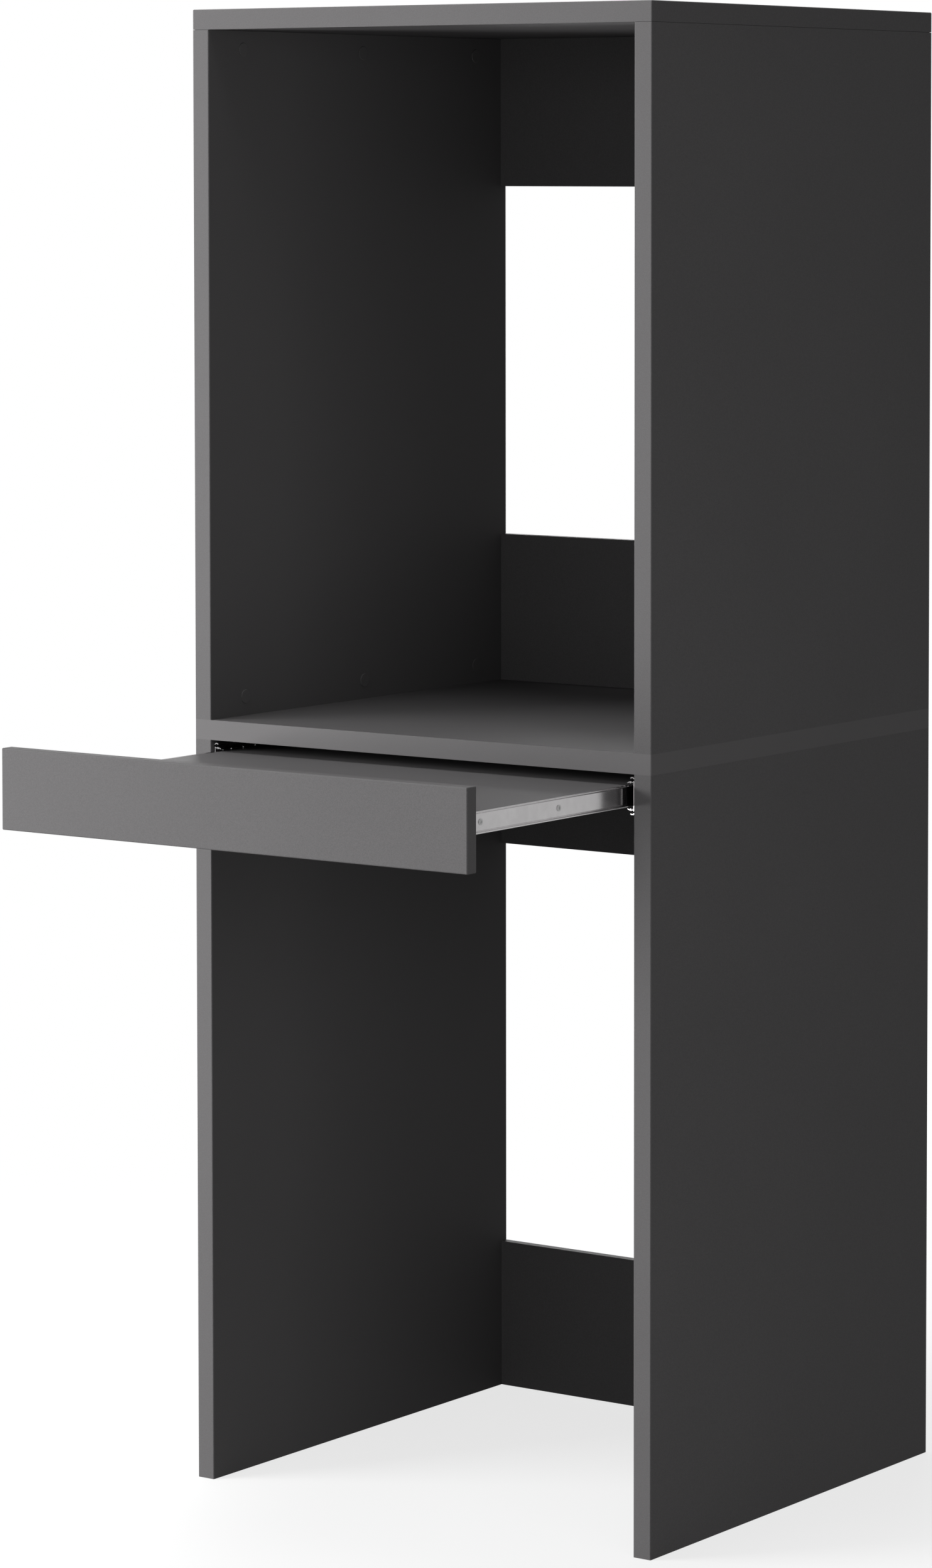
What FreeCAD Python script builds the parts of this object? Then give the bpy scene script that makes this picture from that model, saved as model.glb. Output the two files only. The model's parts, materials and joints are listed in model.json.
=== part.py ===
import FreeCAD, Part
import math
import os

from FreeCAD import Vector

# A tall open cabinet that houses a washing machine below and a dryer above. A tray on ball slides pulls
# out under the middle shelf. Millimetres, X to the right, Y to the back, Z up. The tray is drawn out at
# rest, and the origin is the middle of the whole outline at floor level.

# Carcass
carcass_width = 690.0
carcass_depth = 635.0
lower_side_height = 938.0
upper_bay_height = 862.0
side_board = 25.0
top_board = 25.0
shelf_board = 25.0
edge_round = 1.5
top_seam = 0.4
top_seam_depth = 2.0

# Rear rails
rail_height = 197.0
rail_board = 12.0

# Tray
tray_out = 348.0
closed_gap = 2.0
tray_front_height = 98.5
tray_front_board = 18.0
front_top_reveal = 2.5
front_side_reveal = 0.5
tray_board = 25.0
tray_depth = 510.0

# Telescopic ball slides
slide_length = 500.0
slide_height = 45.4
slide_thickness = 12.7
slide_top_gap = 3.9
slide_setback = 4.5
outer_sheet = 1.2
middle_sheet = 1.0
inner_sheet = 1.2
web_gap = 1.2
ball_diameter = 4.0
race_gap = 0.3
race_edge_angle = 35.0
inner_edge_angle = 25.0
cage_sheet = 0.7
cage_gap = 0.6
pocket_gap = 0.15
pocket_lip = 0.9
ball_pitch = 24.0
outer_cage_margin = 100.0
inner_cage_margin = 7.0
rear_stop_length = 8.0
rear_stop_inset = 10.0
stop_gap = 0.3

# Slide screws
cabinet_screw_diameter = 6.0
cabinet_screw_length = 13.0
cabinet_head_diameter = 8.6
cabinet_head_height = 0.7
cabinet_screw_margin = 32.0
tray_screw_diameter = 3.5
tray_screw_length = 16.0
tray_head_diameter = 7.6
tray_head_height = 0.8
tray_screw_first = 50.5
tray_screw_step = 155.0
tray_screw_margin = 60.0

# Cam fittings of the carcass and the tray
cam_diameter = 15.0
cam_past_bolt = 4.5
cam_recess = 0.3
bolt_reach = 24.0
bolt_shank = 7.0
bolt_neck = 4.0
bolt_neck_length = 4.5
bolt_head_length = 3.0
bolt_thread = 6.0
bolt_thread_length = 11.0
cap_lip = 1.25
cap_thickness = 1.2
cap_spigot = 5.0
cap_spigot_length = 2.2
fastener_setback = 69.5
tray_fastener_setback = 72.0
insert_diameter = 10.0
insert_length = 14.0

# Small cam fittings of the rear rails
small_cam_diameter = 12.0
small_cam_past_bolt = 3.5
small_bolt_shank = 5.0
small_bolt_neck = 3.0
small_bolt_thread = 4.6

# Dowels
dowel_diameter = 8.0
dowel_length = 32.0
dowel_face_depth = 10.0
dowel_step = 64.0
dowel_chamfer = 1.0
rail_dowel_diameter = 6.0
rail_dowel_length = 30.0
rail_dowel_side_depth = 10.0
rail_dowel_offset = 60.0

# Clearances
fit_gap = 0.1
hole_slack = 0.5
blind_slack = 1.0
drive_slot = 1.2
drive_depth = 2.6

# Places that follow from the sizes
wall_x = carcass_width / 2 - side_board
front_y = (closed_gap + tray_out + tray_front_board - carcass_depth) / 2
back_y = front_y + carcass_depth
shelf_bottom = lower_side_height
shelf_top = shelf_bottom + shelf_board
top_bottom = shelf_top + upper_bay_height
top_top = top_bottom + top_board
side_middle_x = wall_x + side_board / 2
rail_front_y = back_y - rail_board
rail_middle_y = back_y - rail_board / 2
fastener_rows = (front_y + fastener_setback, (front_y + back_y) / 2, back_y - fastener_setback)
dowel_rows = (fastener_rows[0] + dowel_step, fastener_rows[2] - dowel_step)

slide_z = shelf_bottom - slide_top_gap - slide_height / 2
slide_front = front_y + slide_setback
stage_length = slide_length - rear_stop_length - stop_gap
tray_front_back = front_y - closed_gap - tray_out
inner_front = slide_front - tray_out
tray_half = wall_x - slide_thickness
tray_fastener_columns = (-tray_half + tray_fastener_setback, 0.0, tray_half - tray_fastener_setback)

# Slide section: u runs from the cabinet wall to the tray, v up from the slide's middle
ball_radius = ball_diameter / 2
race_radius = ball_radius + race_gap
outer_row_v = slide_height / 2 - outer_sheet - race_radius
inner_row_v = outer_row_v - 2 * race_radius - middle_sheet
middle_web_u = outer_sheet + web_gap
race_edge = math.radians(race_edge_angle)
inner_edge = math.radians(inner_edge_angle)
outer_row_u = middle_web_u + middle_sheet / 2 + (race_radius + middle_sheet / 2) * math.cos(race_edge)
inner_row_u = slide_thickness - inner_sheet / 2 - (race_radius + inner_sheet / 2) * math.cos(inner_edge)

RIGHT = Vector(1, 0, 0)
BACK = Vector(0, 1, 0)
UP = Vector(0, 0, 1)
SIDES = (("left", -1), ("right", 1))


def box(x, y, z):
    """A block between the low and high values of x, y and z."""
    return Part.makeBox(x[1] - x[0], y[1] - y[0], z[1] - z[0], Vector(x[0], y[0], z[0]))


def inset(span, depth):
    """A span made shorter by depth at both ends."""
    return (span[0] + depth, span[1] - depth)


def rod(diameter, start, end):
    """A round bar from start to end."""
    return Part.makeCylinder(diameter / 2, (end - start).Length, start, end - start)


def join(solids):
    """One solid from several that overlap or share faces."""
    return solids[0].multiFuse(solids[1:]).removeSplitter()


def rounded(board, pick):
    """A board with the edges that pick accepts rounded over."""
    edges = [edge for edge in board.Edges if pick(edge)]
    return board.makeFillet(edge_round, edges)


def is_upright(edge):
    return edge.BoundBox.ZLength > edge_round


def is_upright_or_on_top(edge):
    return is_upright(edge) or edge.CenterOfMass.z > top_top - edge_round


def upper_side(across, ends):
    """An upper side that carries the top panel, with a shadow line sunk all round its top end."""
    seam_bottom = top_bottom - top_seam
    board = rounded(box(across, ends, (shelf_top, seam_bottom)), is_upright)
    neck = box(inset(across, top_seam_depth), inset(ends, top_seam_depth), (seam_bottom, top_bottom))
    return join([board, neck])


def mirrored(shape):
    """The same shape on the other side of the cabinet."""
    return shape.mirror(Vector(0, 0, 0), RIGHT)


def export(name, solids):
    """One node: a single solid, or a group of separate solids."""
    shape = solids[0] if len(solids) == 1 else Part.makeCompound(solids)
    shape.exportStep(os.path.join("parts", name + ".step"))


class CamFitting:
    """A bolt that stands in one panel and a cam in the next panel that pulls it tight.

    foot is the point on the bolt's axis where the cam's panel begins, along points from there into that
    panel, and face points out of the panel on the cam's side. through is how far the bolt first passes
    through another board.
    """

    def __init__(self, foot, along, face, board, small=False, through=0.0):
        self.foot = foot
        self.along = along
        self.face = face
        self.through = through
        self.shank = small_bolt_shank if small else bolt_shank
        self.neck = small_bolt_neck if small else bolt_neck
        self.thread = small_bolt_thread if small else bolt_thread
        self.cam_diameter = small_cam_diameter if small else cam_diameter
        self.cam_depth = board / 2 + (small_cam_past_bolt if small else cam_past_bolt)
        self.seat = self.at(bolt_reach) + face * (board / 2)

    def at(self, distance):
        return self.foot + self.along * distance

    def bolt(self):
        head_start = bolt_reach - bolt_head_length / 2
        neck_start = head_start - bolt_neck_length
        thread = rod(self.thread, self.at(-self.through - bolt_thread_length), self.at(-self.through))
        shank = rod(self.shank, self.at(-self.through), self.at(neck_start))
        neck = rod(self.neck, self.at(neck_start), self.at(head_start))
        head = rod(self.shank, self.at(head_start), self.at(head_start + bolt_head_length))
        return join([thread, shank, neck, head])

    def cam(self):
        outer_face = self.seat - self.face * cam_recess
        body = rod(self.cam_diameter, self.seat - self.face * self.cam_depth, outer_face)
        mouth = rod(
            self.shank + 2 * hole_slack,
            self.at(bolt_reach - self.cam_diameter),
            self.at(bolt_reach + bolt_head_length / 2 + hole_slack),
        )
        socket_floor = outer_face - self.face * drive_depth
        socket = rod(cap_spigot + 2 * fit_gap, socket_floor, self.seat)
        across = self.along.cross(self.face)
        arm = self.cam_diameter / 2 - 2 * drive_slot
        cuts = [mouth, socket]
        for long_way, short_way in ((self.along, across), (across, self.along)):
            corner = socket_floor - long_way * arm - short_way * (drive_slot / 2)
            far = self.seat + long_way * arm + short_way * (drive_slot / 2)
            cuts.append(box(*[tuple(sorted(pair)) for pair in zip(corner, far)]))
        return body.cut(cuts)

    def cap(self):
        disc = rod(self.cam_diameter + 2 * cap_lip, self.seat, self.seat + self.face * cap_thickness)
        circles = [edge for edge in disc.Edges if len(edge.Vertexes) == 1]
        rim = max(circles, key=lambda edge: (edge.CenterOfMass - self.seat).dot(self.face))
        disc = disc.makeFillet(cap_thickness / 2, [rim])
        spigot = rod(cap_spigot, self.seat - self.face * cap_spigot_length, self.seat)
        return join([disc, spigot])

    def cam_panel_holes(self):
        bore = self.cam_diameter + 2 * fit_gap
        pocket = rod(bore, self.seat - self.face * self.cam_depth, self.seat + self.face * blind_slack)
        entry = rod(self.shank + 2 * hole_slack, self.at(-blind_slack), self.at(bolt_reach))
        return [pocket, entry]

    def thread_hole(self):
        deep = self.at(-self.through - bolt_thread_length - blind_slack)
        return rod(self.thread + 2 * fit_gap, deep, self.at(-self.through))

    def through_hole(self):
        start = self.at(-self.through - blind_slack)
        return rod(self.shank + 2 * hole_slack, start, self.at(blind_slack))


def dowel(diameter, start, end):
    """A plain wooden dowel with chamfered ends."""
    bar = rod(diameter, start, end)
    return bar.makeChamfer(dowel_chamfer, [edge for edge in bar.Edges if len(edge.Vertexes) == 1])


def dowel_hole(diameter, start, end):
    """The two blind holes that a dowel fills, as one cutter."""
    along = (end - start).normalize()
    return rod(diameter + 2 * fit_gap, start - along * blind_slack, end + along * blind_slack)


def top_fittings():
    """Cam fittings that pull the top panel down on the upper sides."""
    fittings = []
    for _, sign in SIDES:
        for y in fastener_rows:
            foot = Vector(sign * side_middle_x, y, top_bottom)
            fittings.append(CamFitting(foot, -UP, RIGHT * -sign, side_board))
    return fittings


def shelf_fittings():
    """Cam fittings in the upper sides, with long bolts through the shelf into the lower sides."""
    fittings = []
    for _, sign in SIDES:
        for y in fastener_rows:
            foot = Vector(sign * side_middle_x, y, shelf_top)
            fittings.append(CamFitting(foot, UP, RIGHT * -sign, side_board, through=shelf_board))
    return fittings


def tray_fittings():
    """Cam fittings under the tray board that hold the tray front."""
    fittings = []
    for x in tray_fastener_columns:
        foot = Vector(x, tray_front_back, slide_z)
        fittings.append(CamFitting(foot, BACK, -UP, tray_board))
    return fittings


def rail_fittings(low):
    """One small cam fitting at each end of a rear rail, let into its rear face."""
    fittings = []
    for _, sign in SIDES:
        foot = Vector(sign * wall_x, rail_middle_y, low + rail_height / 2)
        fittings.append(CamFitting(foot, RIGHT * -sign, BACK, rail_board, small=True))
    return fittings


def upright_dowels(low, high):
    """Start and end of the dowels between a side and the board above or below it."""
    return [
        (Vector(sign * side_middle_x, y, low), Vector(sign * side_middle_x, y, high))
        for _, sign in SIDES
        for y in dowel_rows
    ]


def rail_dowels(low):
    """Start and end of the dowels at both ends of a rear rail."""
    spans = []
    for _, sign in SIDES:
        for offset in (-rail_dowel_offset, rail_dowel_offset):
            z = low + rail_height / 2 + offset
            outer = Vector(sign * (wall_x + rail_dowel_side_depth), rail_middle_y, z)
            spans.append((outer, outer - RIGHT * (sign * rail_dowel_length)))
    return spans


def tray_dowels():
    """Start and end of the dowels between the tray front and the tray board."""
    spans = []
    for x in (tray_fastener_columns[0] + dowel_step, tray_fastener_columns[2] - dowel_step):
        start = Vector(x, tray_front_back - dowel_face_depth, slide_z)
        spans.append((start, start + BACK * dowel_length))
    return spans


def slide_point(u, v):
    """A point of the right slide's section, at y = 0."""
    return Vector(wall_x - u, 0, slide_z + v)


def slide_prism(face, start, length):
    return face.extrude(BACK * length).translate(BACK * start)


def plate(points):
    """A flat section from its corners."""
    corners = [slide_point(u, v) for u, v in points]
    return Part.Face(Part.makePolygon(corners + corners[:1]))


def race(row_u, row_v, sheet, first, last):
    """A sheet bent round a ball row, from angle first to angle last."""

    def on_circle(radius, angle):
        return slide_point(row_u + radius * math.cos(angle), row_v + radius * math.sin(angle))

    near = race_radius
    far = race_radius + sheet
    middle = (first + last) / 2
    inside = Part.Arc(on_circle(near, first), on_circle(near, middle), on_circle(near, last)).toShape()
    outside = Part.Arc(on_circle(far, last), on_circle(far, middle), on_circle(far, first)).toShape()
    end = Part.makeLine(on_circle(near, last), on_circle(far, last))
    begin = Part.makeLine(on_circle(far, first), on_circle(near, first))
    return Part.Face(Part.Wire([inside, end, outside, begin]))


def edge_of_race(row_u, row_v, sheet, angle):
    """The two corners of a race's edge, on the ball's side and on the back."""
    return [
        (row_u + radius * math.cos(angle), row_v + radius * math.sin(angle))
        for radius in (race_radius, race_radius + sheet)
    ]


def flipped(face):
    """A section's upper half turned into its lower half."""
    return face.mirror(Vector(0, 0, slide_z), UP)


def slide_member(web, upper, start, length, rows):
    """A bent steel member: its web, its upper half mirrored below, and clear ball races."""
    faces = [web] + upper + [flipped(face) for face in upper]
    member = join([slide_prism(face, start, length) for face in faces])
    races = []
    for u, v in rows:
        for height in (v, -v):
            middle = slide_point(u, height) + BACK * start
            races.append(rod(2 * race_radius, middle, middle + BACK * length))
    return member.cut(races).removeSplitter()


def outer_member():
    """The member on the cabinet side: a channel with a race bent over each outer ball row."""
    near, far = edge_of_race(outer_row_u, outer_row_v, outer_sheet, math.pi - race_edge)
    web = plate([(0, -far[1]), (outer_sheet, -far[1]), (outer_sheet, far[1]), (0, far[1])])
    arm_low = far[1] - outer_sheet
    arm = plate([(0, arm_low), (far[0], arm_low), near, far, (0, far[1])])
    over = race(outer_row_u, outer_row_v, outer_sheet, race_edge, math.pi - race_edge)
    rows = [(outer_row_u, outer_row_v)]
    return slide_member(web, [arm, over], slide_front, slide_length, rows)


def middle_member():
    """The middle member: an S section that passes between the two ball rows."""
    left_near, left_far = edge_of_race(outer_row_u, outer_row_v, middle_sheet, math.pi + race_edge)
    low_near, low_far = edge_of_race(outer_row_u, outer_row_v, middle_sheet, -race_edge)
    high_near, high_far = edge_of_race(inner_row_u, inner_row_v, middle_sheet, math.pi - race_edge)
    crown = (inner_row_u, inner_row_v + race_radius + middle_sheet)
    left = middle_web_u
    right = middle_web_u + middle_sheet
    top = left_near[1]
    web = plate([(left, -top), (right, -top), (right, top), (left, top)])
    under = race(outer_row_u, outer_row_v, middle_sheet, math.pi + race_edge, 2 * math.pi - race_edge)
    over = race(inner_row_u, inner_row_v, middle_sheet, race_edge, math.pi - race_edge)
    bridge = plate([low_near, low_far, crown, high_far])
    rows = [(outer_row_u, outer_row_v), (inner_row_u, inner_row_v)]
    return slide_member(web, [under, over, bridge], slide_front, stage_length, rows)


def inner_member():
    """The member on the tray: a channel with a groove under each inner ball row."""
    near, far = edge_of_race(inner_row_u, inner_row_v, inner_sheet, -inner_edge)
    left = slide_thickness - inner_sheet
    right = slide_thickness
    web = plate([(left, -near[1]), (right, -near[1]), (right, near[1]), (left, near[1])])
    under = race(inner_row_u, inner_row_v, inner_sheet, math.pi + inner_edge, 2 * math.pi - inner_edge)
    rows = [(inner_row_u, inner_row_v)]
    return slide_member(web, [under], inner_front, stage_length, rows)


def ball_places(row_u, row_v, start, length):
    """Ball centres of one cage, evenly spaced in both rows."""
    count = int(length // ball_pitch)
    first = start + (length - (count - 1) * ball_pitch) / 2
    return [
        slide_point(row_u, height) + BACK * (first + ball_pitch * number)
        for height in (row_v, -row_v)
        for number in range(count)
    ]


def pockets(places):
    reach = UP * ball_diameter
    return [rod(ball_diameter + 2 * pocket_gap, place - reach, place + reach) for place in places]


def cage_strip(left, right, row_v, start, length):
    """A flat strip at the height of a ball row."""
    half = cage_sheet / 2
    corners = [(left, row_v - half), (right, row_v - half), (right, row_v + half), (left, row_v + half)]
    return slide_prism(plate(corners), start, length)


def outer_cage(start, length, places):
    """Two flat strips that space the outer balls, above and below."""
    left = outer_row_u - ball_radius - pocket_gap - cage_sheet
    right = outer_row_u + ball_radius + pocket_gap + cage_sheet
    strips = [cage_strip(left, right, v, start, length) for v in (outer_row_v, -outer_row_v)]
    return [strip.cut(pockets(places)) for strip in strips]


def inner_cage(start, length, places):
    """A channel whose two lips space the inner balls."""
    left = middle_web_u + middle_sheet + cage_gap
    right = inner_row_u + pocket_lip
    strips = [cage_strip(left, right, v, start, length) for v in (inner_row_v, -inner_row_v)]
    top = inner_row_v + cage_sheet / 2
    web = plate([(left, -top), (left + cage_sheet, -top), (left + cage_sheet, top), (left, top)])
    return [join([slide_prism(web, start, length)] + strips).cut(pockets(places))]


def rear_stop():
    """The rubber block at the back of the outer member that the other members stop against."""
    half = slide_height / 2 - rear_stop_inset
    right = slide_thickness - inner_sheet
    corners = [(outer_sheet, -half), (right, -half), (right, half), (outer_sheet, half)]
    return slide_prism(plate(corners), slide_front + slide_length - rear_stop_length, rear_stop_length)


def cabinet_screw_places():
    first = slide_front + cabinet_screw_margin
    last = slide_front + slide_length - rear_stop_length - cabinet_screw_margin
    return [slide_point(outer_sheet, 0) + BACK * y for y in (first, (first + last) / 2, last)]


def tray_screw_places():
    first = inner_front + tray_screw_first
    last = inner_front + stage_length - tray_screw_margin
    return [
        slide_point(slide_thickness - inner_sheet, 0) + BACK * y
        for y in (first, first + tray_screw_step, last)
    ]


def screw(seat, along, diameter, length, head_diameter, head_height):
    """A flat-headed screw that enters at seat and points along its length, with a cross slot."""
    shank = rod(diameter, seat, seat + along * length)
    head = rod(head_diameter, seat - along * head_height, seat)
    blank = join([shank, head])
    half = drive_slot / 2
    arm = head_diameter / 4
    cuts = []
    for y_arm, z_arm in ((arm, half), (half, arm)):
        corner = seat - along * (2 * head_height) - BACK * y_arm - UP * z_arm
        far = seat - along * (head_height / 4) + BACK * y_arm + UP * z_arm
        cuts.append(box(*[tuple(sorted(pair)) for pair in zip(corner, far)]))
    return blank.cut(cuts)


def screw_hole(seat, along, diameter, length, gap):
    return rod(diameter + 2 * gap, seat - along * blind_slack, seat + along * (length + blind_slack))


def make_carcass():
    """The boards, the rails and the fittings that join them."""
    top_set = top_fittings()
    shelf_set = shelf_fittings()
    top_spans = upright_dowels(top_bottom + dowel_face_depth - dowel_length, top_bottom + dowel_face_depth)
    over_spans = upright_dowels(shelf_top - dowel_face_depth, shelf_top - dowel_face_depth + dowel_length)
    under_low = shelf_bottom + dowel_face_depth - dowel_length
    under_spans = upright_dowels(under_low, shelf_bottom + dowel_face_depth)
    rail_lows = {
        "upper_top_rail": top_bottom - rail_height,
        "upper_bottom_rail": shelf_top,
        "lower_top_rail": shelf_bottom - rail_height,
        "lower_bottom_rail": 0.0,
    }
    rail_sets = {name: rail_fittings(low) for name, low in rail_lows.items()}
    rail_spans = {name: rail_dowels(low) for name, low in rail_lows.items()}
    all_rail_fittings = [fitting for fittings in rail_sets.values() for fitting in fittings]
    all_rail_spans = [span for spans in rail_spans.values() for span in spans]
    rail_dowel_holes = [dowel_hole(rail_dowel_diameter, *span) for span in all_rail_spans]
    rail_thread_holes = [fitting.thread_hole() for fitting in all_rail_fittings]
    inserts = []
    insert_holes = []
    for fitting in shelf_set:
        mouth = fitting.at(-shelf_board)
        deep = mouth - UP * insert_length
        sleeve = rod(insert_diameter, deep, mouth)
        inserts.append(sleeve.cut(fitting.thread_hole()))
        insert_holes.append(rod(insert_diameter + 2 * fit_gap, deep - UP * blind_slack, mouth))

    def dowel_holes(spans):
        return [dowel_hole(dowel_diameter, *span) for span in spans]

    half = carcass_width / 2
    ends = (front_y, back_y)
    top_panel = rounded(box((-half, half), ends, (top_bottom, top_top)), is_upright_or_on_top)
    export("top_panel", [top_panel.cut([f.thread_hole() for f in top_set] + dowel_holes(top_spans))])
    shelf = rounded(box((-half, half), ends, (shelf_bottom, shelf_top)), is_upright)
    shelf_holes = [f.through_hole() for f in shelf_set] + dowel_holes(over_spans + under_spans)
    export("middle_shelf", [shelf.cut(shelf_holes)])

    screw_holes = []
    for seat in cabinet_screw_places():
        hole = screw_hole(seat, RIGHT, cabinet_screw_diameter, cabinet_screw_length, fit_gap)
        screw_holes += [hole, mirrored(hole)]
    upper_holes = [hole for f in top_set + shelf_set for hole in f.cam_panel_holes()]
    upper_holes += dowel_holes(top_spans + over_spans) + rail_dowel_holes + rail_thread_holes
    lower_holes = insert_holes + dowel_holes(under_spans) + screw_holes
    lower_holes += rail_dowel_holes + rail_thread_holes
    for name, sign in SIDES:
        across = tuple(sorted((sign * wall_x, sign * half)))
        upper = upper_side(across, ends)
        lower = rounded(box(across, ends, (0.0, shelf_bottom)), is_upright)
        export("upper_" + name + "_side", [upper.cut(upper_holes)])
        export("lower_" + name + "_side", [lower.cut(lower_holes)])

    for name, low in rail_lows.items():
        rail = box((-wall_x, wall_x), (rail_front_y, back_y), (low, low + rail_height))
        holes = [hole for f in rail_sets[name] for hole in f.cam_panel_holes()]
        holes += [dowel_hole(rail_dowel_diameter, *span) for span in rail_spans[name]]
        export(name, [rail.cut(holes)])

    export("top_bolts", [f.bolt() for f in top_set])
    export("top_cams", [f.cam() for f in top_set])
    export("top_cam_caps", [f.cap() for f in top_set])
    export("top_dowels", [dowel(dowel_diameter, *span) for span in top_spans])
    export("shelf_bolts", [f.bolt() for f in shelf_set])
    export("shelf_bolt_inserts", inserts)
    export("shelf_cams", [f.cam() for f in shelf_set])
    export("shelf_cam_caps", [f.cap() for f in shelf_set])
    export("shelf_upper_dowels", [dowel(dowel_diameter, *span) for span in over_spans])
    export("shelf_lower_dowels", [dowel(dowel_diameter, *span) for span in under_spans])
    export("rail_bolts", [f.bolt() for f in all_rail_fittings])
    export("rail_cams", [f.cam() for f in all_rail_fittings])
    export("rail_dowels", [dowel(rail_dowel_diameter, *span) for span in all_rail_spans])


def make_slides():
    """Both telescopic slides: three members, two cages and their balls on each side."""
    outer = outer_member()
    inner = inner_member()
    cabinet_screws = []
    for seat in cabinet_screw_places():
        outer = outer.cut(screw_hole(seat, RIGHT, cabinet_screw_diameter, outer_sheet, fit_gap))
        sizes = (cabinet_screw_diameter, cabinet_screw_length, cabinet_head_diameter, cabinet_head_height)
        cabinet_screws.append(screw(seat, RIGHT, *sizes))
    tray_screws = []
    for seat in tray_screw_places():
        inner = inner.cut(screw_hole(seat, -RIGHT, tray_screw_diameter, inner_sheet, fit_gap))
        sizes = (tray_screw_diameter, tray_screw_length, tray_head_diameter, tray_head_height)
        tray_screws.append(screw(seat, -RIGHT, *sizes))

    outer_start = slide_front + outer_cage_margin
    outer_cage_length = stage_length - 2 * outer_cage_margin
    inner_start = slide_front + inner_cage_margin
    inner_cage_length = stage_length - tray_out - 2 * inner_cage_margin
    outer_places = ball_places(outer_row_u, outer_row_v, outer_start, outer_cage_length)
    inner_places = ball_places(inner_row_u, inner_row_v, inner_start, inner_cage_length)
    solids = {
        "slide_outer": [outer],
        "slide_middle": [middle_member()],
        "slide_inner": [inner],
        "outer_cage": outer_cage(outer_start, outer_cage_length, outer_places),
        "inner_cage": inner_cage(inner_start, inner_cage_length, inner_places),
        "outer_balls": [Part.makeSphere(ball_radius, place) for place in outer_places],
        "inner_balls": [Part.makeSphere(ball_radius, place) for place in inner_places],
        "rear_stop": [rear_stop()],
        "cabinet_screws": cabinet_screws,
        "tray_screws": tray_screws,
    }
    for name, group in solids.items():
        export(name + "_right", group)
        export(name + "_left", [mirrored(solid) for solid in group])


def make_tray():
    """The pull-out tray: its board, its front and the fittings between them."""
    fittings = tray_fittings()
    spans = tray_dowels()
    dowel_cuts = [dowel_hole(dowel_diameter, *span) for span in spans]
    front_half = carcass_width / 2 - front_side_reveal
    front_top = shelf_top - front_top_reveal
    front = box(
        (-front_half, front_half),
        (tray_front_back - tray_front_board, tray_front_back),
        (front_top - tray_front_height, front_top),
    )
    front = rounded(front, lambda edge: True)
    export("tray_front", [front.cut([f.thread_hole() for f in fittings] + dowel_cuts)])

    board = box(
        (-tray_half, tray_half),
        (tray_front_back, tray_front_back + tray_depth),
        (slide_z - tray_board / 2, slide_z + tray_board / 2),
    )
    holes = [hole for f in fittings for hole in f.cam_panel_holes()] + dowel_cuts
    for seat in tray_screw_places():
        hole = screw_hole(seat, -RIGHT, tray_screw_diameter, tray_screw_length, fit_gap)
        holes += [hole, mirrored(hole)]
    export("tray_board", [board.cut(holes)])
    export("tray_front_bolts", [f.bolt() for f in fittings])
    export("tray_front_cams", [f.cam() for f in fittings])
    export("tray_front_dowels", [dowel(dowel_diameter, *span) for span in spans])


os.makedirs("parts", exist_ok=True)
make_carcass()
make_slides()
make_tray()
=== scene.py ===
import json
import math

import bpy
from mathutils import Euler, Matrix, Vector

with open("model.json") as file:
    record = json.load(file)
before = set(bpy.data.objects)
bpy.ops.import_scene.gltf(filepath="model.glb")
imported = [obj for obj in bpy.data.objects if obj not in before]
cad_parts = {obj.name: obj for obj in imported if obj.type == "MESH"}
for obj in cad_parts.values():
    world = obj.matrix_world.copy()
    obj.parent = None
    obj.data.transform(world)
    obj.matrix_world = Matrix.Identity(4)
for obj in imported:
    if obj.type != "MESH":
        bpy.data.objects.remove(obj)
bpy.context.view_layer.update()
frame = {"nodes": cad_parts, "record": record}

# Camera, in metres and degrees, on an image of 1484 by 2497 pixels
CAMERA_PLACE = (3.7553, -5.1860, 1.6624)
CAMERA_YAW = 34.971
CAMERA_PITCH = 3.239
CAMERA_LENS = 119.28
CAMERA_SENSOR = 36.0
CAMERA_SHIFT = (-0.0633, -0.2101)

# Metal that would mirror a soft box as plain white
FLARING = (
    "slide_outer_left",
    "slide_middle_left",
    "slide_inner_left",
    "slide_inner_right",
    "tray_screws_left",
    "tray_screws_right",
)
FILL_FLARING = FLARING + ("slide_middle_right",)

# Soft boxes: place and size in metres, power in watts, and the metal that they pass by
LIGHTS = {
    "key": ((-2.9, -2.7, 1.2), (2.0, 2.4), 316.0, FLARING),
    "fill": ((2.5, -1.7, 1.1), (2.2, 2.0), 28.0, FILL_FLARING),
    "front": ((-0.8, -4.8, 1.5), (5.0, 2.0), 48.0, ()),
    "rear": ((-2.4, 3.8, 1.4), (2.4, 2.4), 70.0, FLARING),
    "top": ((-0.6, -0.3, 4.0), (2.4, 0.8), 106.0, FLARING),
}
AIM = (0.0, 0.0, 0.95)

# The surround: what it gives as light from above and below, what metal mirrors and what the camera sees
SKY = 0.18
GROUND = 0.06
HORIZON = (-0.1, 0.2)
MIRROR = 0.5
BACKDROP = 1.0
WHITE = (1.0, 1.0, 1.0, 1.0)

# The floor, in metres, with the share of glow in it beside the cabinet
FLOOR_REACH = 30.0
FLOOR_SIDES = 64
FLOOR_FADE = (0.6, 2.2)
FLOOR_GLOW = 0.75
FLOOR_TONE = (0.84, 0.84, 0.84, 1.0)
FLOOR_ROUGHNESS = 0.8
FLOOR_GLOSS = 0.1

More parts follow.
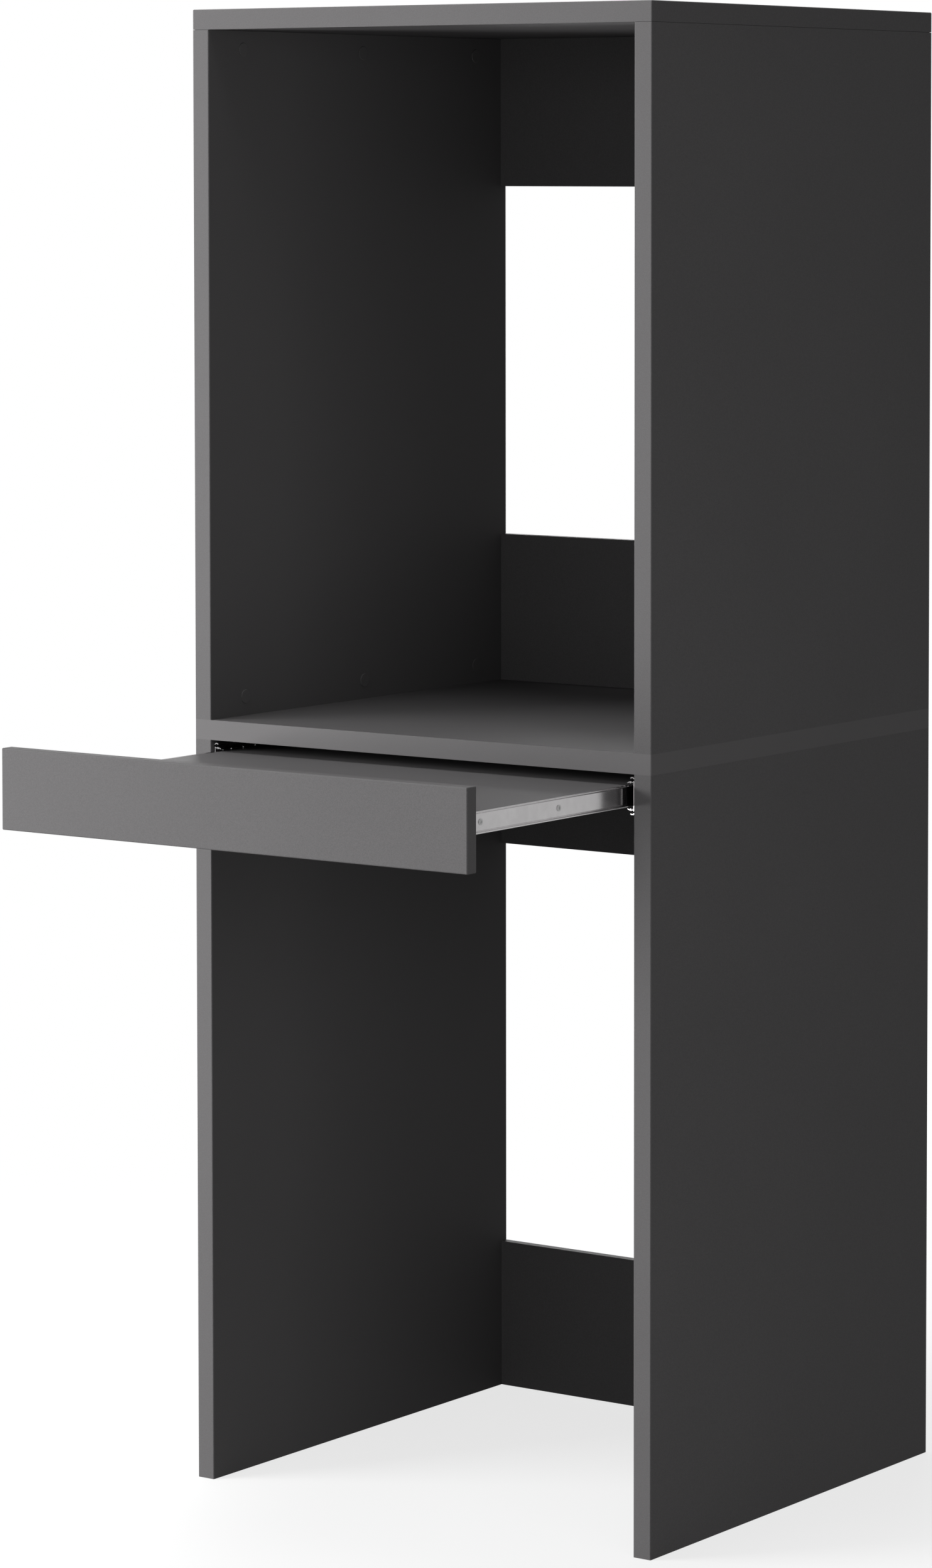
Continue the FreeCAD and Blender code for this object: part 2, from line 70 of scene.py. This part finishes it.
# Tones of board and plastic, one of them painted light for the shelf's edges, and how far their grain goes
# to either side
GRAPHITE = (0.088, 0.0855, 0.087)
FRONT_GRAPHITE = (0.086, 0.0835, 0.085)
# The next tone paints the shelf's upright edges lighter than the board: painted light, standing in for
# light that the tray front's shadow keeps off the shelf's front edge
PAINTED_LIGHT_EDGE_GRAPHITE = (0.106, 0.1028, 0.1047)
BLACK = (0.014, 0.014, 0.015)
NATURAL = (0.72, 0.7, 0.64)
PRINT_SPREAD = 0.1
# The next spread is the grain of that painted-light edge tone
PAINTED_LIGHT_EDGE_SPREAD = 0.03
CLOUD_SPREAD = 0.05
PLASTIC_SPREAD = 0.15
PLASTIC_ROUGHNESS_SPREAD = 0.06

# Darkest and lightest tones of metal and wood
STEEL = ((0.75, 0.735, 0.74), (0.81, 0.795, 0.8))
BALLS = ((0.7, 0.7, 0.71), (0.78, 0.78, 0.78))
ZINC = ((0.52, 0.52, 0.53), (0.66, 0.66, 0.65))
BEECH = ((0.46, 0.31, 0.17), (0.62, 0.45, 0.27))

# Noise along x, y and z, per metre, that draws lines along a slide and along a dowel
ROLLED_LINES = (1800.0, 6.0, 1800.0)
WOOD_LINES = (500.0, 500.0, 40.0)

# Upright share of the normal between which a board's edge turns into its face
EDGE_TO_FACE = (0.4, 0.6)


def map_range(tree, source, low, high, start=0.0, end=1.0):
    """A node whose result goes from low to high as source goes from start to end."""
    node = tree.nodes.new("ShaderNodeMapRange")
    for name, value in (("From Min", start), ("From Max", end), ("To Min", low), ("To Max", high)):
        node.inputs[name].default_value = value
    tree.links.new(source, node.inputs["Value"])
    return node


class Finish:
    """A material's node tree, with short calls for the nodes that the finishes share."""

    def __init__(self, name):
        self.material = bpy.data.materials.new(name)
        self.material.use_nodes = True
        self.tree = self.material.node_tree
        self.shader = self.tree.nodes["Principled BSDF"]
        coordinates = self.add("ShaderNodeTexCoord")
        self.place = coordinates.outputs["Object"]
        self.normal = coordinates.outputs["Normal"]

    def add(self, kind, **settings):
        node = self.tree.nodes.new(kind)
        for name, value in settings.items():
            setattr(node, name, value)
        return node

    def link(self, source, target):
        self.tree.links.new(source, target)

    def constant(self, socket, value):
        """A shader socket that is the same all over the surface."""
        self.shader.inputs[socket].default_value = value

    def stretched(self, scale):
        """The object's own coordinates, scaled by a different amount along each axis."""
        mapping = self.add("ShaderNodeMapping")
        mapping.inputs["Scale"].default_value = scale
        self.link(self.place, mapping.inputs["Vector"])
        return mapping.outputs["Vector"]

    def noise(self, scale, detail, vector=None):
        node = self.add("ShaderNodeTexNoise")
        node.inputs["Scale"].default_value = scale
        node.inputs["Detail"].default_value = detail
        self.link(vector or self.place, node.inputs["Vector"])
        return node.outputs["Fac"]

    def tones(self, source, dark, light, start=0.3, end=0.7):
        """A colour that goes from dark to light as source goes from start to end."""
        node = self.add("ShaderNodeValToRGB")
        for element, place, colour in zip(node.color_ramp.elements, (start, end), (dark, light)):
            element.position = place
            element.color = (*colour, 1.0)
        self.link(source, node.inputs["Fac"])
        return node.outputs["Color"]

    def remap(self, source, low, high, start=0.0, end=1.0):
        """A number that goes from low to high as source goes from start to end."""
        return map_range(self.tree, source, low, high, start, end).outputs["Result"]

    def edges(self):
        """1 on the upright edges of a board that lies flat, and 0 on its faces."""
        axes = self.add("ShaderNodeSeparateXYZ")
        self.link(self.normal, axes.inputs["Vector"])
        upright = self.add("ShaderNodeMath", operation="ABSOLUTE")
        self.link(axes.outputs["Z"], upright.inputs[0])
        return self.remap(upright.outputs["Value"], 1.0, 0.0, *EDGE_TO_FACE)

    def blend(self, factor, first, second):
        """A colour that goes from first to second as factor goes from 0 to 1."""
        node = self.add("ShaderNodeMix", data_type="RGBA")
        self.link(factor, node.inputs["Factor"])
        self.link(first, node.inputs["A"])
        self.link(second, node.inputs["B"])
        return node.outputs["Result"]

    def times(self, colour, factor):
        """A colour multiplied by a number that varies over the surface."""
        node = self.add("ShaderNodeMix", data_type="RGBA", blend_type="MULTIPLY")
        node.inputs["Factor"].default_value = 1.0
        self.link(colour, node.inputs["A"])
        self.link(factor, node.inputs["B"])
        return node.outputs["Result"]

    def bump(self, height, depth, strength):
        """Relief of the surface, depth in metres."""
        node = self.add("ShaderNodeBump")
        node.inputs["Distance"].default_value = depth
        node.inputs["Strength"].default_value = strength
        self.link(height, node.inputs["Height"])
        self.link(node.outputs["Normal"], self.shader.inputs["Normal"])

    def colour(self, source):
        self.link(source, self.shader.inputs["Base Color"])

    def rough(self, source, low, high):
        """Roughness that goes from low to high as source goes from 0 to 1."""
        self.link(self.remap(source, low, high), self.shader.inputs["Roughness"])


def around(tone, spread):
    """The darker and the lighter end of a tone."""
    dark = [(1.0 - spread) * part for part in tone]
    light = [(1.0 + spread) * part for part in tone]
    return dark, light


def graphite(name, tone, painted_edge_light=None):
    """Matt graphite melamine: a fine pearl grain, a faint cloudiness and, if given, upright edges in a
    plainer, lighter tone that is painted light.
    """
    finish = Finish(name)
    grain = finish.noise(scale=1100.0, detail=2.0)
    cloud = finish.noise(scale=5.0, detail=3.0)
    dimples = finish.noise(scale=700.0, detail=3.0)
    print_and_edge_light = finish.tones(grain, *around(tone, PRINT_SPREAD), start=0.35, end=0.65)
    # Upright edges take a lighter tone: painted light, not a different edge band
    if painted_edge_light:
        painted_edge_light_tone = finish.tones(grain, *around(painted_edge_light, PAINTED_LIGHT_EDGE_SPREAD), start=0.35, end=0.65)
        print_and_edge_light = finish.blend(finish.edges(), print_and_edge_light, painted_edge_light_tone)
    finish.colour(finish.times(print_and_edge_light, finish.remap(cloud, 1.0 - CLOUD_SPREAD, 1.0 + CLOUD_SPREAD)))
    finish.rough(grain, low=0.5, high=0.62)
    finish.bump(dimples, depth=0.0001, strength=0.25)
    finish.constant("Specular IOR Level", 0.05)
    return finish.material


def bright_steel():
    """Bright zinc plate on rolled steel, with faint lines along its length."""
    finish = Finish("bright_steel")
    lines = finish.noise(scale=1.0, detail=3.0, vector=finish.stretched(ROLLED_LINES))
    mottle = finish.noise(scale=60.0, detail=3.0)
    finish.colour(finish.tones(mottle, *STEEL))
    finish.rough(lines, low=0.14, high=0.22)
    finish.bump(lines, depth=0.00002, strength=0.15)
    finish.constant("Metallic", 1.0)
    return finish.material


def ball_steel():
    """Polished bearing steel."""
    finish = Finish("ball_steel")
    haze = finish.noise(scale=300.0, detail=2.0)
    finish.colour(finish.tones(haze, *BALLS))
    finish.rough(haze, low=0.05, high=0.1)
    finish.constant("Metallic", 1.0)
    return finish.material


def die_cast_zinc():
    """Zinc-plated fittings, with a dull cast skin."""
    finish = Finish("die_cast_zinc")
    skin = finish.noise(scale=900.0, detail=3.0)
    finish.colour(finish.tones(skin, *ZINC))
    finish.rough(skin, low=0.22, high=0.42)
    finish.bump(skin, depth=0.00005, strength=0.2)
    finish.constant("Metallic", 1.0)
    return finish.material


def moulded_plastic(name, tone, roughness, gloss=0.4):
    """Moulded plastic with a fine spark-eroded grain."""
    finish = Finish(name)
    grain = finish.noise(scale=1500.0, detail=2.0)
    finish.colour(finish.tones(grain, *around(tone, PLASTIC_SPREAD)))
    finish.rough(grain, roughness - PLASTIC_ROUGHNESS_SPREAD, roughness + PLASTIC_ROUGHNESS_SPREAD)
    finish.bump(grain, depth=0.00004, strength=0.2)
    finish.constant("Specular IOR Level", gloss)
    return finish.material


def beech():
    """Plain turned beech with its grain along the dowel."""
    finish = Finish("beech")
    rings = finish.noise(scale=1.0, detail=4.0, vector=finish.stretched(WOOD_LINES))
    finish.colour(finish.tones(rings, *BEECH))
    finish.rough(rings, low=0.5, high=0.7)
    finish.bump(rings, depth=0.0001, strength=0.3)
    return finish.material


finishes = {
    "carcass_board": graphite("graphite_board", GRAPHITE),
    "rail_board": graphite("graphite_rail", GRAPHITE),
    "front_board": graphite("graphite_front", FRONT_GRAPHITE),
    "slide_steel": bright_steel(),
    "ball_steel": ball_steel(),
    "zinc": die_cast_zinc(),
    "cage_plastic": moulded_plastic("black_plastic", BLACK, roughness=0.4),
    "cap_plastic": moulded_plastic("graphite_plastic", GRAPHITE, roughness=0.55, gloss=0.1),
    "nylon": moulded_plastic("natural_nylon", NATURAL, roughness=0.5),
    "stop_rubber": moulded_plastic("black_rubber", BLACK, roughness=0.75),
    "dowel_wood": beech(),
}


def dress(node, finish):
    """Gives a CAD node its finish, on the object's own material slot."""
    for slot in node.material_slots:
        slot.link = "OBJECT"
        slot.material = finish


for subpart in frame["record"]["subparts"]:
    dress(frame["nodes"][subpart["node"]], finishes[subpart["material_slot"]])
# The shelf's upright edges are painted lighter than its faces: painted light where the tray front shades
# its front edge
dress(frame["nodes"]["middle_shelf"], graphite("graphite_shelf_painted_edge_light", GRAPHITE, PAINTED_LIGHT_EDGE_GRAPHITE))


def by_ray(tree, light, source=None):
    """A level that is BACKDROP for the camera, MIRROR for metal, and for the rest source or else light."""
    ray = tree.nodes.new("ShaderNodeLightPath")
    for kind, seen in (("Is Glossy Ray", MIRROR), ("Is Camera Ray", BACKDROP)):
        switch = map_range(tree, ray.outputs[kind], light, seen)
        if source:
            tree.links.new(source, switch.inputs["To Min"])
        source = switch.outputs["Result"]
    return source


def floor_material():
    """Pale floor that runs out into the white of the backdrop."""
    finish = Finish("pale_floor")
    finish.constant("Base Color", FLOOR_TONE)
    finish.constant("Roughness", FLOOR_ROUGHNESS)
    finish.constant("Specular IOR Level", FLOOR_GLOSS)
    length = finish.add("ShaderNodeVectorMath", operation="LENGTH")
    finish.link(finish.place, length.inputs[0])
    glow = finish.add("ShaderNodeEmission")
    glow.inputs["Color"].default_value = WHITE
    finish.link(by_ray(finish.tree, GROUND), glow.inputs["Strength"])
    fade = finish.remap(length.outputs["Value"], FLOOR_GLOW, 1.0, *FLOOR_FADE)
    mix = finish.add("ShaderNodeMixShader")
    finish.link(fade, mix.inputs["Fac"])
    finish.link(finish.shader.outputs["BSDF"], mix.inputs[1])
    finish.link(glow.outputs["Emission"], mix.inputs[2])
    finish.link(mix.outputs["Shader"], finish.tree.nodes["Material Output"].inputs["Surface"])
    return finish.material


def make_floor():
    bpy.ops.mesh.primitive_circle_add(vertices=FLOOR_SIDES, radius=FLOOR_REACH, fill_type="NGON")
    floor = bpy.context.object
    floor.name = "floor"
    floor.data.materials.append(floor_material())


def pass_by(lamp, names):
    """Keeps a soft box off the metal that would mirror it as plain white."""
    metal = bpy.data.collections.new(lamp.name + "_passes_by")
    for name in names:
        metal.objects.link(frame["nodes"][name])
    for member in metal.collection_objects:
        member.light_linking.link_state = "EXCLUDE"
    lamp.light_linking.receiver_collection = metal


def make_light(name, place, size, power, flaring):
    """A soft box that faces the middle of the cabinet."""
    light = bpy.data.lights.new(name, "AREA")
    light.shape = "RECTANGLE"
    light.size, light.size_y = size
    light.energy = power
    lamp = bpy.data.objects.new(name, light)
    lamp.location = place
    lamp.rotation_euler = (Vector(AIM) - Vector(place)).to_track_quat("-Z", "Y").to_euler()
    lamp.visible_camera = False
    if flaring:
        pass_by(lamp, flaring)
    bpy.context.scene.collection.objects.link(lamp)


def make_world():
    """A soft sky over a dark ground as light, a grey surround for metal to mirror, and white in view."""
    world = bpy.data.worlds.new("studio")
    bpy.context.scene.world = world
    world.use_nodes = True
    tree = world.node_tree
    sky = tree.nodes["Background"]
    sky.inputs["Color"].default_value = WHITE
    direction = tree.nodes.new("ShaderNodeTexCoord")
    axes = tree.nodes.new("ShaderNodeSeparateXYZ")
    tree.links.new(direction.outputs["Generated"], axes.inputs["Vector"])
    height = map_range(tree, axes.outputs["Z"], GROUND, SKY, *HORIZON)
    tree.links.new(by_ray(tree, GROUND, height.outputs["Result"]), sky.inputs["Strength"])


def make_camera():
    camera = bpy.data.cameras.new("camera")
    camera.sensor_width = CAMERA_SENSOR
    camera.lens = CAMERA_LENS
    camera.shift_x, camera.shift_y = CAMERA_SHIFT
    holder = bpy.data.objects.new("camera", camera)
    holder.location = CAMERA_PLACE
    holder.rotation_euler = Euler((math.radians(90.0 - CAMERA_PITCH), 0.0, math.radians(CAMERA_YAW)))
    bpy.context.scene.collection.objects.link(holder)
    bpy.context.scene.camera = holder


make_floor()
for name, (place, size, power, flaring) in LIGHTS.items():
    make_light(name, place, size, power, flaring)
make_world()
make_camera()
bpy.context.scene.view_settings.view_transform = "Standard"
